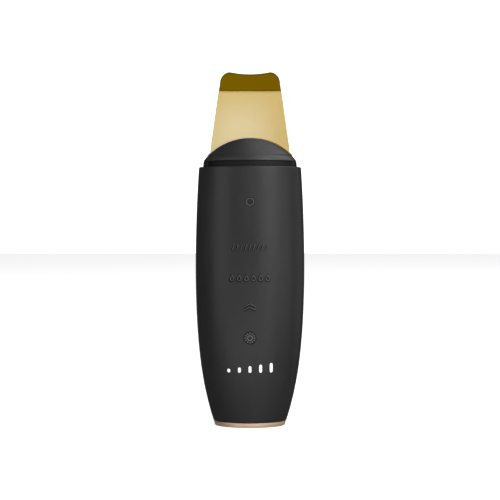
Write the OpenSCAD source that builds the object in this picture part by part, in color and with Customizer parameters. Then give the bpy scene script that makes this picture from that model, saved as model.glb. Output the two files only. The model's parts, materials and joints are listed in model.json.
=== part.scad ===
// Handheld ultrasonic skin scrubber: an oval wand that stands on its metal base ring, with a
// bent metal blade at the top, two sprung keys, three mode marks and a covered charging port.
// +Z runs from the base to the blade tip and the front, with the keys, faces -Y.

/* [Body] */
// Widest width of the body
body_w = 49.1; // [47:0.1:52]
// Depth of the body as a share of its width
depth_share = 0.54; // [0.53:0.01:0.58]
// Height at which the body is widest
widest_z = 71.4; // [70.4:1:73.4]
// Radius of the long curve of each flank above the widest height
flank_r = 676; // [640:1:800]
// Height of the body's rim, where the neck starts
rim_z = 116.2; // [115.6:0.1:117]
// Wall thickness of the two body shells
wall = 1.8; // [1.5:0.1:1.9]

/* [Base] */
// Height of the metal base ring
ring_h = 2.1; // [2:0.1:2.3]
// Height of the base plate above the surface that the ring stands on
plate_z = 0.3; // [0.2:0.05:0.35]

/* [Neck and nose] */
// Width of the neck at its top
neck_w = 42; // [41:0.1:42.2]
// Depth of the neck
neck_d = 21; // [20.4:0.1:21]
// Height of the nose's lower edge
nose_z = 118.8; // [118.4:0.1:119.2]
// Height of the nose's top
nose_top = 129.4; // [129:0.1:129.8]
// Radius of the nose's arch
nose_r = 26.5; // [26.2:0.1:27]
// How far the blade trim stands outside the arch
trim_edge = 0.42; // [0.3:0.02:0.6]

/* [Blade] */
// Height of the whole scrubber, base to blade tip
total_h = 158.6; // [156.6:0.2:160]
// Thickness of the blade
blade_t = 0.6; // [0.5:0.1:0.7]
// Width of the blade where it leaves the nose
blade_w = 35.9; // [34.5:0.1:36.3]
// Width of the blade at its bend
bend_w = 28.5; // [27:0.1:30]
// Height of the bend
bend_z = 150.4; // [147.4:0.5:151.4]
// Angle by which the tip leans to the front
tip_lean = 30; // [15:1:40]
// Radius of the tip's two corners
tip_corner = 4.8; // [3:0.1:6]
// Depth of the hollow between the tip's two corners
tip_hollow = 0.9; // [0.3:0.1:1.5]

/* [Controls] */
// Height of the power key
power_z = 100.3; // [100:0.1:100.6]
// Radius of the power key
power_r = 1.9; // [1.7:0.05:2]
// Radius of the light key
light_r = 2.7; // [2.5:0.05:2.8]
// Height of the first mode mark
mark_z = 80.2; // [79.8:0.1:80.6]
// Distance from one mark to the next
mark_pitch = 13.26; // [13.1:0.02:13.4]
// Travel of both keys
key_travel = 0.25; // [0.15:0.05:0.3]
// How far the marks stand out of the body
raise = 0.2; // [0.1:0.05:0.3]

/* [Battery] */
// Width of the battery
cell_w = 30; // [26:1:30]
// Height of the battery
cell_h = 45; // [40:1:46]
// Thickness of the battery
cell_t = 8; // [6:0.5:8]

/* [Hidden] */
$fn = 96;
fine = 360;
eps = 0.01;
far = 60;

half_w = body_w / 2;
half_d = half_w * depth_share;
neck_half = neck_w / 2;
neck_half_d = neck_d / 2;
rim_round = 0.5;
light_z = mark_z - 3 * mark_pitch;
badge_z = mark_z - 4 * mark_pitch;

// Half width of the body at a height: a round flank above, a taper that quickens below.
taper_mid = 4.86;
taper_low = 4.03;
function body_half(z) = z > widest_z
  ? half_w - (z - widest_z) ^ 2 / (2 * flank_r)
  : let (u = (widest_z - z) / widest_z) half_w - taper_mid * u ^ 2 - taper_low * u ^ 4;
// Depth of the body's surface, or of one that lies inside it by inset, straight in front of the axis.
function body_front(z, inset = 0) =
  (half_d - inset) * (body_half(z) - inset) / (half_w - inset);

// Solid of the body's oval form, moved inwards by inset, with its upper edge rounded by rim.
module body_form(inset = 0, low = ring_h, high = rim_z, rim = 0) {
  rows = max(2, ceil((high - low) / 5));
  top = high - rim;
  side = [for (i = [0:rows]) let (z = low + (top - low) * i / rows) [body_half(z) - inset, z]];
  edge = rim == 0 ? [] : [for (a = [30:30:90])
    [body_half(top) - inset - rim * (1 - cos(a)), top + rim * sin(a)]];
  scale([1, (half_d - inset) / (half_w - inset), 1])
    rotate_extrude() polygon(concat([[0, low]], side, edge, [[0, high]]));
}

// Oval disc between two heights, with its half width and half depth.
module oval(half_x, half_y, low, high, flare = 0) {
  translate([0, 0, low]) scale([1, half_y / half_x, 1])
    cylinder(r1 = half_x + flare, r2 = half_x, h = high - low, $fn = fine);
}

// Box given by its two opposite corners.
module box(low, high) {
  translate(low) cube(high - low);
}

// Cylinder along Y, from one depth to another.
module rod_y(r, x, z, from, to) {
  translate([x, to, z]) rotate([90, 0, 0]) cylinder(r = r, h = to - from);
}

// Places an outline drawn in X and Z as a plate between two depths.
module plate_y(from, to) {
  translate([0, to, 0]) rotate([90, 0, 0]) linear_extrude(to - from) children();
}

// Keeps the front half, with side -1, or the rear half, with side 1.
module half(side) {
  intersection() {
    children();
    box([-far, side < 0 ? -far : 0, -far], [far, side < 0 ? 0 : far, 3 * far]);
  }
}

// Builds an oval solid as its front half and its rear half, joined.
module in_halves() {
  for (s = [-1, 1]) half(s) children();
}

// Sinks a flat drawing into the body's front at a height, and lets it stand out by raise.
bed = 0.5;
module on_front(z, out = raise, reach = 4) {
  intersection() {
    difference() {
      body_form(-out, z - reach, z + reach);
      body_form(bed, z - reach - 1, z + reach + 1);
    }
    translate([0, 0, z]) plate_y(-far / 2, -1) children();
  }
}

// Round wire through a list of points.
module wire(points, r) {
  for (i = [0:len(points) - 2]) {
    run = points[i + 1] - points[i];
    length = norm(run);
    translate(points[i]) rotate([0, acos(run.z / length), atan2(run.y, run.x)])
      cylinder(r = r, h = length);
  }
  for (i = [1:1:len(points) - 2]) translate(points[i]) sphere(r = r);
}

// ---- Marks on the front ----

// Nine slanted strokes in a row.
scrub_count = 9;
scrub_span = 16;
scrub_h = 2.6;
stroke = 0.5;
module scrub_outline() {
  pitch = (scrub_span - stroke - scrub_h / 3) / (scrub_count - 1);
  for (i = [0:scrub_count - 1]) {
    x = -scrub_span / 2 + i * pitch;
    polygon([[x, -scrub_h / 2], [x + stroke, -scrub_h / 2],
      [x + stroke + scrub_h / 3, scrub_h / 2], [x + scrub_h / 3, scrub_h / 2]]);
  }
}

// Six hollow drops in a row.
drop_count = 6;
drop_r = 1;
moisture_span = 17.8;
module drop(r) {
  // The straight sides leave the circle at 30 degrees and meet twice the radius above its centre.
  circle(r = r);
  polygon([[-r * cos(30), r * sin(30)], [r * cos(30), r * sin(30)], [0, 2 * r]]);
}
module moisture_outline() {
  pitch = (moisture_span - 2 * drop_r) / (drop_count - 1);
  for (i = [0:drop_count - 1]) {
    translate([(i - (drop_count - 1) / 2) * pitch, -drop_r / 2]) difference() {
      drop(drop_r);
      drop(drop_r - 0.42);
    }
  }
}

// Two chevrons that point upwards.
lift_w = 5.6;
lift_h = 1.9;
module lift_outline() {
  for (rise = [-1.3, 0.2]) {
    polygon([[-lift_w / 2, rise], [0, rise + lift_h - stroke], [lift_w / 2, rise],
      [lift_w / 2, rise + stroke], [0, rise + lift_h], [-lift_w / 2, rise + stroke]]);
  }
}

// Five plain upright bars that grow in height.
badge_count = 5;
badge_span = 20;
badge_h = 4.2;
badge_bar = 1.3;
module badge_outline() {
  for (i = [0:badge_count - 1]) {
    x = -badge_span / 2 + i * (badge_span - badge_bar) / (badge_count - 1);
    h = badge_h * (0.4 + 0.6 * i / (badge_count - 1));
    translate([x, -badge_h / 2]) square([badge_bar, h]);
  }
}

// Sun: a ring, a dot and twelve rays.
module sun_outline() {
  difference() {
    circle(r = 1.25);
    circle(r = 0.85);
  }
  circle(r = 0.35);
  for (a = [0:30:330]) rotate(a) translate([1.7, -0.17]) square([0.85, 0.34]);
}

// ---- Body ----

key_gap = 0.1;
module body_shell(side) {
  difference() {
    half(side) difference() {
      body_form(rim = rim_round);
      body_form(wall, ring_h - 1, rim_z + 1);
    }
    seam_groove();
    if (side < 0) {
      rod_y(power_r + key_gap, 0, power_z, -far, -1);
      rod_y(light_r + key_gap, 0, light_z, -far, -1);
      scrub_mark();
      moisture_mark();
      lift_mark();
      badge_marks();
    }
  }
}

// Strip that fills the seam between the two shells on both flanks.
seal_out = 0.55;
seal_in = 1.25;
seal_t = 0.6;
module seam_groove() {
  intersection() {
    difference() {
      body_form(seal_out, ring_h, rim_z - 1.2);
      body_form(seal_in, ring_h - 1, rim_z);
    }
    box([-far, -seal_t / 2, 0], [far, seal_t / 2, 2 * far]);
  }
}

module front_shell() {
  color([0.2, 0.2, 0.21]) body_shell(-1);
}

module rear_shell() {
  color([0.2, 0.2, 0.21]) body_shell(1);
}

module seam_seals() {
  color([0.1, 0.1, 0.1]) seam_groove();
}

module scrub_mark() {
  color([0.34, 0.34, 0.35]) on_front(mark_z) scrub_outline();
}

module moisture_mark() {
  color([0.34, 0.34, 0.35]) on_front(mark_z - mark_pitch) moisture_outline();
}

module lift_mark() {
  color([0.34, 0.34, 0.35]) on_front(mark_z - 2 * mark_pitch) lift_outline();
}

module badge_marks() {
  color("white") on_front(badge_z, raise / 4) badge_outline();
}

// ---- Neck, nose and blade ----

neck_low = 103.9;
neck_wall = 1.6;
neck_flare = 0.2;
reveal_half = 19.6;
reveal_depth = 0.9;
web_low = 104.4;
web_high = 107.4;
mount_r = 8.6;
spigot_z = nose_z - 4;
spigot_gap = 0.1;
module neck_ring() {
  color([0.11, 0.11, 0.115]) {
    difference() {
      union() {
        oval(neck_half, neck_half_d, neck_low, rim_z);
        oval(neck_half, neck_half_d, rim_z, nose_z, neck_flare);
      }
      oval(neck_half - neck_wall, neck_half_d - neck_wall, neck_low - 1, web_low);
      oval(neck_half - neck_wall, neck_half_d - neck_wall, web_high, nose_z + 1);
      translate([0, 0, neck_low]) cylinder(r = mount_r, h = 10);
      // Reveal across the front and the rear, between the body's rim and the nose.
      intersection() {
        difference() {
          box([-reveal_half, -far, rim_z], [reveal_half, far, nose_z + 1]);
          oval(neck_half - reveal_depth, neck_half_d - reveal_depth, rim_z - 1, nose_z + 2);
        }
        oval(neck_half + 1, neck_half_d + 1, rim_z, nose_z + 1);
      }
    }
  }
}

// Nose: a low round arch over the neck's oval, on a short upright lip. Towards the top its front
// and its rear lean in to the blade trim.
nose_wall = 1.6;
nose_lip = 0.5;
nose_lean = 1.6;
nose_lean_from = 0.35;
arch_z = nose_top - nose_r;
lip_half = sqrt(nose_r ^ 2 - (nose_z + nose_lip - arch_z) ^ 2);
lip_half_d = lip_half * neck_half_d / neck_half;
module nose_form(inset) {
  scale([1, (lip_half_d - inset) / (lip_half - inset), 1]) rotate_extrude() {
    intersection() {
      translate([0, arch_z]) circle(r = nose_r - inset, $fn = fine);
      translate([0, nose_z + nose_lip]) square([far, far]);
    }
    translate([0, nose_z]) square([lip_half - inset, nose_lip + eps]);
  }
}

// Side outline in Y and Z, which cuts the upper part of the form: as deep as the trim at the top.
function nose_depth(u, inset) = trim_t / 2 + (lip_half_d + 0.6 - trim_t / 2) * (1 - u ^ nose_lean)
  - 1.35 * inset;
module nose_side(inset) {
  low = nose_z + nose_lip;
  edge = [for (u = [nose_lean_from : 0.05 : 1.001]) if (nose_depth(u, inset) > 0.1)
      [nose_depth(u, inset), low + u * (nose_top - low)]];
  wide = edge[0][0] + 3;
  count = len(edge) - 1;
  polygon([[-wide, spigot_z - 5], [wide, spigot_z - 5], [wide, edge[0][1] - 2], each edge,
      each [for (i = [count : -1 : 0]) [-edge[i][0], edge[i][1]]], [-wide, edge[0][1] - 2]]);
}

// The nose's form between its two leaning sides, set in by a wall.
module nose_body(inset) {
  intersection() {
    nose_form(inset);
    rotate([90, 0, 90]) translate([0, 0, -far]) linear_extrude(2 * far) nose_side(inset);
  }
}

module nose_half(side) {
  half(side) difference() {
    union() {
      nose_body(0);
      oval(neck_half - neck_wall - spigot_gap, neck_half_d - neck_wall - spigot_gap, spigot_z, nose_z);
    }
    nose_body(nose_wall);
    oval(neck_half - 2 * neck_wall, neck_half_d - 2 * neck_wall, spigot_z - 1, nose_z + eps);
    trim_arch();
  }
}

module nose_front() {
  color([0.19, 0.19, 0.2]) nose_half(-1);
}

module nose_rear() {
  color([0.19, 0.19, 0.2]) nose_half(1);
}

// Arch of the metal trim, without its slot.
trim_t = 1.4;
trim_band = 2.5;
trim_z = 121.5;
module trim_arch() {
  plate_y(-trim_t / 2, trim_t / 2) intersection() {
    translate([0, arch_z]) difference() {
      circle(r = nose_r + trim_edge, $fn = fine);
      circle(r = nose_r - trim_band, $fn = fine);
    }
    translate([-far, trim_z]) square([2 * far, far]);
  }
}

slot_gap = 0.15;
module blade_trim() {
  color([0.8, 0.66, 0.4]) difference() {
    trim_arch();
    box([-blade_w / 2 - slot_gap, -blade_t / 2 - slot_gap, trim_z - 1],
      [blade_w / 2 + slot_gap, blade_t / 2 + slot_gap, nose_top + 3]);
  }
}

// Blade: a flat spade that narrows to a bend, and a tip that leans to the front.
shoulder_z = 121.9;
side_z = 124.9;
tang_half = 5.6;
tang_top = 116.4;
tang_z = 109;
bend_r = 1;
tip_taper = 0.7;
screw_z = [110.8, 114.6];
// Front outline: tang, shoulders, tapering sides, two round corners with a shallow hollow between.
module blade_outline() {
  tip_half = bend_w / 2 - tip_taper;
  lobe_x = tip_half - tip_corner;
  lobe_z = total_h - tip_corner;
  // The hollow ends a little past the middle of each corner's arc.
  hollow_half = lobe_x + 0.08 * tip_corner;
  hollow_r = (hollow_half ^ 2 + tip_hollow ^ 2) / (2 * tip_hollow);
  difference() {
    union() {
      polygon([
        [tang_half, tang_z], [tang_half, tang_top], [blade_w / 2, shoulder_z],
        [blade_w / 2, side_z], [bend_w / 2, bend_z], [tip_half, lobe_z], [lobe_x, total_h],
        [-lobe_x, total_h], [-tip_half, lobe_z], [-bend_w / 2, bend_z], [-blade_w / 2, side_z],
        [-blade_w / 2, shoulder_z], [-tang_half, tang_top], [-tang_half, tang_z]
      ]);
      for (s = [-1, 1]) translate([s * lobe_x, lobe_z]) circle(r = tip_corner);
    }
    translate([0, total_h - tip_hollow + hollow_r]) circle(r = hollow_r, $fn = fine);
  }
}

// Side view of the sheet, in Y and Z: straight up, round the bend and on along the lean.
module blade_sheet() {
  bend_steps = 6;
  start_z = bend_z - bend_r * tan(tip_lean / 2);
  pivot = [-blade_t / 2 - bend_r, start_z];
  reach = (total_h - start_z + 5) / cos(tip_lean);
  along = reach * [-sin(tip_lean), cos(tip_lean)];
  turn = [for (i = [0:bend_steps]) tip_lean * i / bend_steps];
  front = [for (a = turn) pivot + bend_r * [cos(a), sin(a)]];
  back = [for (i = [bend_steps:-1:0]) pivot + (bend_r + blade_t) * [cos(turn[i]), sin(turn[i])]];
  polygon(concat(
    [[-blade_t / 2, tang_z - 1]], front, [front[bend_steps] + along, back[0] + along],
    back, [[blade_t / 2, tang_z - 1]]
  ));
}

module blade() {
  color([0.84, 0.7, 0.44]) difference() {
    intersection() {
      rotate([90, 0, 90]) linear_extrude(2 * blade_w, center = true) blade_sheet();
      plate_y(-far / 2, far / 2) blade_outline();
    }
    for (z = screw_z) rod_y(1.05, 0, z, -5, 5);
  }
}

// ---- Base ----

ring_in = 13.8;
ledge_in = 12.6;
ledge_z = 1.1;
ring_foot = 0.8;
module base_ring() {
  top_half = body_half(ring_h) - 0.12;
  foot_half = top_half - 0.45;
  color([0.78, 0.62, 0.5]) in_halves() difference() {
    scale([1, half_d / half_w, 1]) rotate_extrude($fn = fine) {
      intersection() {
        translate([foot_half - ring_foot, ring_foot]) circle(r = ring_foot);
        square([far, ring_foot]);
      }
      square([foot_half - ring_foot, ring_h]);
      polygon([[0, ring_foot], [foot_half, ring_foot], [top_half, ring_h], [0, ring_h]]);
    }
    oval(ring_in, ring_in * depth_share, -1, ledge_z);
    oval(ledge_in, ledge_in * depth_share, 0, ring_h + 1);
  }
}

// Charging port: the opening in the plate, the recess of its cover and the socket's mouth.
port_w = 9.1;
port_d = 3.4;
cover_gap = 0.3;
cover_low = plate_z + 0.05;
cover_t = 0.95;
cover_w = 12.4;
cover_d = 5.4;
cover_x = 6;
recess_top = cover_low + cover_t + 0.25;
base_screw_x = 9.5;
plate_gap = 0.05;
module slot_shape(w, d, low, high) {
  translate([0, 0, low]) linear_extrude(high - low) {
    for (s = [-1, 1]) translate([s * (w - d) / 2, 0]) circle(d = d);
    square([w - d, d], center = true);
  }
}

module base_plate() {
  low_half = ring_in - plate_gap;
  boss_half = ledge_in - plate_gap;
  color([0.09, 0.09, 0.095]) in_halves() difference() {
    union() {
      oval(low_half, ring_in * depth_share - plate_gap, plate_z, ledge_z);
      oval(boss_half, ledge_in * depth_share - plate_gap, ledge_z - eps, ring_h + 1.4);
    }
    slot_shape(port_w, port_d, 0, 5);
    box([-cover_x - cover_gap - 0.4, -cover_d / 2 - cover_gap, -1],
      [cover_x + 0.5 + cover_gap, cover_d / 2 + cover_gap, recess_top]);
    for (s = [-1, 1]) translate([s * base_screw_x, 0, 0]) {
      cylinder(r = 0.9, h = 5);
      cylinder(r = 1.7, h = plate_z + 0.9);
    }
  }
}

module port_cover() {
  lug_w = 6.8;
  lug_d = 1.9;
  lug_h = 1.5;
  top = cover_low + cover_t;
  axis_z = cover_low + cover_t / 2;
  color([0.13, 0.13, 0.135]) {
    box([cover_x - cover_w, -cover_d / 2, cover_low], [cover_x, cover_d / 2, top]);
    translate([cover_x, cover_d / 2, axis_z]) rotate([90, 0, 0]) cylinder(d = cover_t, h = cover_d);
    slot_shape(lug_w, lug_d, top - eps, top + lug_h);
  }
}

socket_w = 8.9;
socket_d = 3.2;
socket_low = recess_top + 0.1;
socket_h = 7.3;
module charge_socket() {
  mouth_w = 8.3;
  mouth_d = 2.6;
  color([0.75, 0.76, 0.78]) difference() {
    slot_shape(socket_w, socket_d, socket_low, socket_low + socket_h);
    slot_shape(mouth_w, mouth_d, socket_low - 1, socket_low + socket_h - 0.8);
  }
  // Tongue that carries the contacts, set back from the mouth.
  color([0.15, 0.15, 0.15])
    box([-3.3, -0.35, socket_low + 1.9], [3.3, 0.35, socket_low + socket_h - 0.8]);
}

charge_half = 6.4;
charge_top = 17;
module charge_board() {
  color([0.05, 0.3, 0.17])
    box([-charge_half, socket_d / 2, 4.2], [charge_half, socket_d / 2 + 1, charge_top]);
}

leg_r = 2.2;
leg_z = ring_h + 1.4;
module base_screws() {
  color([0.62, 0.62, 0.64]) for (s = [-1, 1]) translate([s * base_screw_x, 0, plate_z + 0.1]) {
    difference() {
      cylinder(r = 1.55, h = 0.8);
      translate([0, 0, -eps]) cylinder(r = 0.7, h = 0.4, $fn = 6);
    }
    cylinder(r = 0.75, h = 10);
  }
}

// ---- Boards, battery and chassis ----

board_front = -8.6;
board_t = 1;
board_back = board_front + board_t;
board_half = 11;
board_low = 31;
board_top = 103;
board_low_screw = [7.4, 36.5];
board_top_screw = [8.6, 96.9];
chassis_front = -5.8;
chassis_back = -4.6;
tray_gap = 0.4;
tray_wall = 1.1;
cell_z = 28;
cell_front = -4.4;
cell_back = cell_front + cell_t;
strap_z = 44;
strap_h = 10;
strap_t = 1.2;
strap_screw_x = cell_w / 2 + tray_gap + 1.4;
pad_t = 1;
strap_back = cell_back + pad_t + strap_t;
post_r = 1.9;
lead_x = 12.4;
lead_y = -1;
lead_front = -6.6;
lead_r = 0.45;

function mirrored(p) = [p, [-p.x, p.y]];
board_screw_spots = concat(mirrored(board_low_screw), mirrored(board_top_screw));

module main_board() {
  color([0.05, 0.3, 0.17]) difference() {
    box([-board_half, board_front, board_low], [board_half, board_back, board_top]);
    for (p = board_screw_spots) rod_y(0.9, p.x, p.y, board_front - 1, board_back + 1);
  }
}

module board_screws() {
  color([0.62, 0.62, 0.64]) for (p = board_screw_spots) {
    rod_y(1.35, p.x, p.y, board_front - 0.6, board_front);
    rod_y(0.7, p.x, p.y, board_front, chassis_front - 0.1);
  }
}

arm_in = 7.3;
arm_out = 10.9;
tray_half = cell_w / 2 + tray_gap;
tray_low = cell_z - tray_gap;
tray_top = cell_z + cell_h + tray_gap;
module chassis() {
  color([0.85, 0.85, 0.83]) difference() {
    union() {
      // Back wall of the tray and the walls round the battery.
      box([-tray_half - tray_wall, chassis_front, tray_low - tray_wall],
        [tray_half + tray_wall, chassis_back, tray_top + tray_wall]);
      for (z = [tray_low - tray_wall, tray_top])
        box([-tray_half - tray_wall, chassis_back - eps, z], [tray_half + tray_wall, 1, z + tray_wall]);
      for (s = [-1, 1]) {
        box([min(s * tray_half, s * (tray_half + tray_wall)), chassis_back - eps, tray_low - tray_wall],
          [max(s * tray_half, s * (tray_half + tray_wall)), 1, tray_top + tray_wall]);
        // Posts that carry the battery strap.
        rod_y(1.3, s * strap_screw_x, strap_z + strap_h / 2, chassis_front, cell_back + pad_t);
        // Upper arms beside the transducer, up to the neck ring.
        box([min(s * arm_in, s * arm_out), chassis_front, tray_top],
          [max(s * arm_in, s * arm_out), chassis_back, neck_low]);
        // Legs down to the base plate, and the brackets that join them to the tray.
        translate([s * base_screw_x, 0, leg_z]) cylinder(r = leg_r, h = tray_low - tray_wall - leg_z);
      }
      box([-base_screw_x, chassis_front + 1, tray_low - tray_wall - 3],
        [base_screw_x, 1, tray_low - tray_wall + eps]);
      for (p = board_screw_spots) rod_y(post_r, p.x, p.y, board_back, chassis_front + eps);
    }
    for (p = board_screw_spots) rod_y(0.7, p.x, p.y, board_back - 1, chassis_back + 1);
    for (s = [-1, 1]) {
      translate([s * base_screw_x, 0, leg_z - 1]) cylinder(r = 0.75, h = 9);
      rod_y(0.6, s * strap_screw_x, strap_z + strap_h / 2, -1, far);
      // Notch that lets the battery's lead out of the tray.
      box([s * lead_x - 0.8, lead_y - 0.8, tray_top - eps], [s * lead_x + 0.8, far, tray_top + tray_wall + eps]);
    }
  }
}

module battery() {
  color([0.28, 0.42, 0.62]) box([-cell_w / 2, cell_front, cell_z], [cell_w / 2, cell_back, cell_z + cell_h]);
}

module battery_pad() {
  color([0.2, 0.2, 0.2])
    box([-cell_w / 2 + 1, cell_back, strap_z - 2], [cell_w / 2 - 1, cell_back + pad_t, strap_z + strap_h + 2]);
}

module battery_strap() {
  color([0.85, 0.85, 0.83]) difference() {
    box([-strap_screw_x - 1.3, cell_back + pad_t, strap_z],
      [strap_screw_x + 1.3, strap_back, strap_z + strap_h]);
    for (s = [-1, 1]) rod_y(0.8, s * strap_screw_x, strap_z + strap_h / 2, 0, far);
  }
}

module strap_screws() {
  color([0.62, 0.62, 0.64]) for (s = [-1, 1]) {
    rod_y(1.2, s * strap_screw_x, strap_z + strap_h / 2, strap_back, strap_back + 0.6);
    rod_y(0.6, s * strap_screw_x, strap_z + strap_h / 2, 0, strap_back);
  }
}

module battery_leads() {
  top = cell_z + cell_h;
  turn_z = top + 2.6;
  for (s = [-1, 1]) {
    color(s < 0 ? [0.1, 0.1, 0.1] : [0.7, 0.1, 0.1]) wire([
      [s * lead_x, lead_y, top], [s * lead_x, lead_y, turn_z], [s * lead_x, lead_front, turn_z],
      [s * 9.5, lead_front, turn_z], [s * 9.5, board_back, turn_z]
    ], lead_r);
  }
}

module control_chip() {
  color([0.07, 0.07, 0.075])
    box([-3.5, board_front - 0.9, mark_z - 1.5 * mark_pitch - 3.5],
      [3.5, board_front, mark_z - 1.5 * mark_pitch + 3.5]);
}

led_h = 0.7;
module mode_leds() {
  color([0.95, 0.93, 0.8]) for (i = [0:2], s = [-1, 1]) {
    z = mark_z - i * mark_pitch;
    box([s * 3 - 0.8, board_front - led_h, z - 0.8], [s * 3 + 0.8, board_front, z + 0.8]);
  }
}

module light_guides() {
  color([0.8, 0.85, 0.88]) for (i = [0:2]) {
    z = mark_z - i * mark_pitch;
    box([-6.5, -body_front(z, wall) + 0.55, z - 1.3], [6.5, board_front - led_h, z + 1.3]);
  }
}

module driver_coil() {
  color([0.16, 0.16, 0.17]) difference() {
    rod_y(4, 0, 91, board_front - 1.8, board_front);
    rod_y(2.2, 0, 91, board_front - 2, board_front - 1.2);
  }
  color([0.72, 0.42, 0.2]) difference() {
    rod_y(2.2, 0, 91, board_front - 1.7, board_front - 1.2);
    rod_y(1.2, 0, 91, board_front - 1.8, board_front - 1.1);
  }
}

module board_ribbon() {
  color([0.82, 0.6, 0.25]) {
    box([-3, board_back, board_low + 0.6], [3, board_back + 0.2, board_low + 3]);
    box([-3, board_back, 22.2], [3, board_back + 0.2, board_low + 0.6 + eps]);
    box([-3, board_back, 22], [3, socket_d / 2 + 1.2, 22.2]);
    box([-3, socket_d / 2 + 1, charge_top - 3], [3, socket_d / 2 + 1.2, 22.2]);
  }
}

// ---- Keys ----

flange_t = 0.5;
flange_lip = 0.6;
stem_r = 1;
switch_r = 1.5;
switch_h = 0.9;
key_rest = 0.1;
sleeve_t = 0.45;

// Depth of a key's flange at rest, just behind the wall's inner face at the flange's far edge.
function flange_y(r, z) = let (
  edge = r + flange_lip,
  near = body_half(z - edge) < body_half(z + edge) ? z - edge : z + edge
) key_rest - body_front(near, wall) * sqrt(1 - (edge / (body_half(near) - wall)) ^ 2);

// Key in its own hole: a round head whose face follows the body, a flange behind the wall and a stem.
module key(r, z) {
  back = flange_y(r, z);
  intersection() {
    body_form(0, z - 4, z + 4);
    rod_y(r, 0, z, -far, back);
  }
  intersection() {
    body_form(-raise, z - 4, z + 4);
    translate([0, 0, z]) plate_y(-far / 2, back) children();
  }
  rod_y(r + flange_lip, 0, z, back, back + flange_t);
  rod_y(stem_r, 0, z, back, board_front - switch_h - key_travel - 0.05);
}

// Silicone sleeve that pushes the key back out.
module sleeve(r, z) {
  flange_back = flange_y(r, z) + flange_t;
  difference() {
    rod_y(switch_r + 0.25 + sleeve_t, 0, z, flange_back, board_front);
    rod_y(switch_r + 0.25, 0, z, flange_back - 1, board_front + 1);
  }
}

module tact_switch(z) {
  rod_y(switch_r, 0, z, board_front - switch_h, board_front);
}

module power_button() {
  color([0.2, 0.2, 0.21]) key(power_r, power_z) difference() {
    circle(r = power_r);
    circle(r = power_r - 0.5);
  }
}

module power_sleeve() {
  color([0.25, 0.25, 0.26]) sleeve(power_r, power_z);
}

module power_switch() {
  color([0.7, 0.7, 0.72]) tact_switch(power_z);
}

module light_button() {
  color([0.2, 0.2, 0.21]) key(light_r, light_z) sun_outline();
}

module light_sleeve() {
  color([0.25, 0.25, 0.26]) sleeve(light_r, light_z);
}

module light_switch() {
  color([0.7, 0.7, 0.72]) tact_switch(light_z);
}

// ---- Ultrasonic transducer ----

stack_r = 6.5;
back_z = 78.4;
back_h = 10;
crystal_h = 2.4;
plate_h = 0.25;
crystal_z = back_z + back_h;
horn_z = crystal_z + 2 * crystal_h + 2 * plate_h;
horn_flange = [104.8, 107];
horn_neck_r = 5.2;
tongue_half = 5;
bolt_r = 2;

module back_mass() {
  color([0.55, 0.56, 0.58]) translate([0, 0, back_z]) difference() {
    cylinder(r = stack_r - 0.2, h = back_h);
    translate([0, 0, -1]) cylinder(r = bolt_r, h = back_h + 2);
  }
}

module piezo_rings() {
  color([0.88, 0.86, 0.76]) for (i = [0, 1])
    translate([0, 0, crystal_z + plate_h + i * (crystal_h + plate_h)]) difference() {
      cylinder(r = stack_r - 0.3, h = crystal_h);
      translate([0, 0, -1]) cylinder(r = bolt_r + 0.4, h = crystal_h + 2);
    }
}

module electrodes() {
  color([0.8, 0.6, 0.3]) for (i = [0, 1]) {
    z = crystal_z + i * (crystal_h + plate_h);
    difference() {
      union() {
        translate([0, 0, z]) cylinder(r = stack_r - 0.3, h = plate_h);
        box([i == 0 ? -stack_r - 0.5 : 0, -1, z], [i == 0 ? 0 : stack_r + 0.5, 1, z + plate_h]);
      }
      translate([0, 0, z - 1]) cylinder(r = bolt_r + 0.4, h = 3);
    }
  }
}

module clamp_bolt() {
  color([0.4, 0.41, 0.43]) {
    translate([0, 0, back_z - 2.4]) difference() {
      cylinder(r = 3.5, h = 2.4);
      translate([0, 0, -1]) cylinder(r = 1.7, h = 2.4, $fn = 6);
    }
    translate([0, 0, back_z - eps]) cylinder(r = bolt_r - 0.02, h = horn_z + 6 - back_z);
  }
}

module horn() {
  tongue_z = 108.6;
  color([0.74, 0.75, 0.77]) difference() {
    union() {
      translate([0, 0, horn_z]) cylinder(r = stack_r, h = 7);
      translate([0, 0, horn_z + 7 - eps]) cylinder(r1 = stack_r, r2 = horn_neck_r, h = 3);
      translate([0, 0, horn_z + 9]) cylinder(r = horn_neck_r, h = tongue_z - horn_z - 9 + eps);
      translate([0, 0, horn_flange[0]])
        cylinder(r = stack_r + 0.6, h = horn_flange[1] - horn_flange[0]);
      box([-tongue_half, blade_t / 2, tongue_z - 0.5], [tongue_half, blade_t / 2 + 2.6, tang_top]);
    }
    translate([0, 0, horn_z - 1]) cylinder(r = bolt_r, h = 8);
    for (z = screw_z) rod_y(0.8, 0, z, 0, 5);
  }
}

// Soft ring that holds the horn by its flange in the neck ring's web.
module horn_mount() {
  gap = 0.05;
  color([0.3, 0.3, 0.31]) translate([0, 0, neck_low]) difference() {
    cylinder(r = mount_r - gap, h = 4);
    translate([0, 0, -1]) cylinder(r = horn_neck_r + 0.15, h = 6);
    translate([0, 0, horn_flange[0] - gap - neck_low])
      cylinder(r = stack_r + 0.6 + gap, h = horn_flange[1] - horn_flange[0] + 2 * gap);
  }
}

module blade_screws() {
  color([0.62, 0.62, 0.64]) for (z = screw_z) {
    difference() {
      rod_y(1.75, 0, z, -blade_t / 2 - 1, -blade_t / 2);
      rod_y(0.8, 0, z, -blade_t / 2 - 1.5, -blade_t / 2 - 0.5, $fn = 6);
    }
    rod_y(0.8, 0, z, -blade_t / 2 - eps, blade_t / 2 + 2.4);
  }
}

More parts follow.
